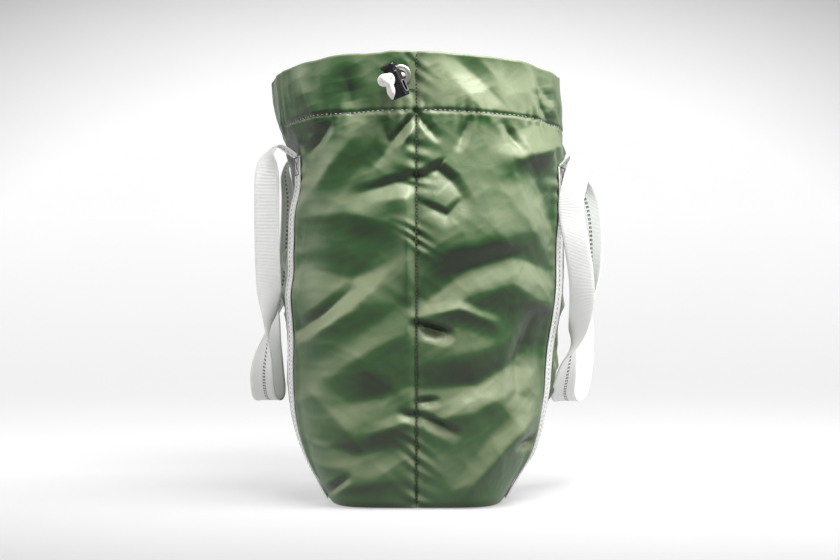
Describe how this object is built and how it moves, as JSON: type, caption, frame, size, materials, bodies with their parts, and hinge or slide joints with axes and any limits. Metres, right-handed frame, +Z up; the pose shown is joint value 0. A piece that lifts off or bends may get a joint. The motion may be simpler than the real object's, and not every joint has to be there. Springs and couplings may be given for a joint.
{
  "type": "rope storage bag",
  "caption": "Tall soft drawstring bag with a flat base, seamed ends, a gathered casing with a cord lock, and a hanging webbing handle on each wide side.",
  "frame": {"origin": "centre of the flat base panel, on the surface the bag stands on", "axes": "+Z up the bag, -Y towards the seamed end with the cord lock, +X and -X towards the handles"},
  "size_m": [0.3742, 0.3648, 0.434],
  "materials": {
    "shell": "coated nylon taffeta, soft sheen",
    "lining": "coated back of the same nylon",
    "webbing": "ribbed white webbing with a dark tracer",
    "thread": "dark polyester thread",
    "metal": "bright nickel plate",
    "cord": "braided white cord",
    "plastic": "glossy black moulding"
  },
  "bodies": {
    "bag": {"panel_left": "shell", "panel_right": "shell", "base_panel": "shell", "hem_facing_left": "lining", "hem_facing_right": "lining", "base_seam_tape": "lining", "seam_tape_near": "lining", "seam_tape_far": "lining", "webbing_left_near": "webbing", "webbing_left_far": "webbing", "webbing_right_near": "webbing", "webbing_right_far": "webbing", "bar_tack_left_near": "thread", "bar_tack_left_far": "thread", "bar_tack_right_near": "thread", "bar_tack_right_far": "thread", "eyelet": "metal", "eyelet_washer": "metal", "eyelet_patch": "lining", "drawcord": "cord"},
    "left_loop": {"handle_left": "webbing"},
    "right_loop": {"handle_right": "webbing"},
    "cord_ends": {"cord_end_a": "cord", "cord_end_b": "cord", "cord_knot": "cord"},
    "lock": {"cord_lock_body": "plastic"},
    "lock_button": {"cord_lock_plunger": "plastic", "cord_lock_spring": "metal"}
  },
  "joints": [
    {"name": "handle_left_swing", "type": "hinge", "parent": "bag", "child": "left_loop", "pos_m": [-0.135, 0, 0.34], "axis": [0, 1, 0], "range_deg": [0, 118]},
    {"name": "handle_right_swing", "type": "hinge", "parent": "bag", "child": "right_loop", "pos_m": [0.16, 0, 0.33], "axis": [0, -1, 0], "range_deg": [0, 118]},
    {"name": "cord_ends_swing", "type": "hinge", "parent": "bag", "child": "cord_ends", "pos_m": [-0.0147, -0.162, 0.411], "axis": [0, 1, 0], "range_deg": [-30, 30]},
    {"name": "cord_lock_slide", "type": "slide", "parent": "cord_ends", "child": "lock", "axis": [0.5051, 0.8081, 0.303], "range_m": [0, 0.003]},
    {"name": "plunger_press", "type": "slide", "parent": "lock", "child": "lock_button", "axis": [0.3791, 0.1077, -0.9191], "range_m": [0, 0.003], "stiffness_N_per_m": 400, "springref_m": -0.002}
  ]
}
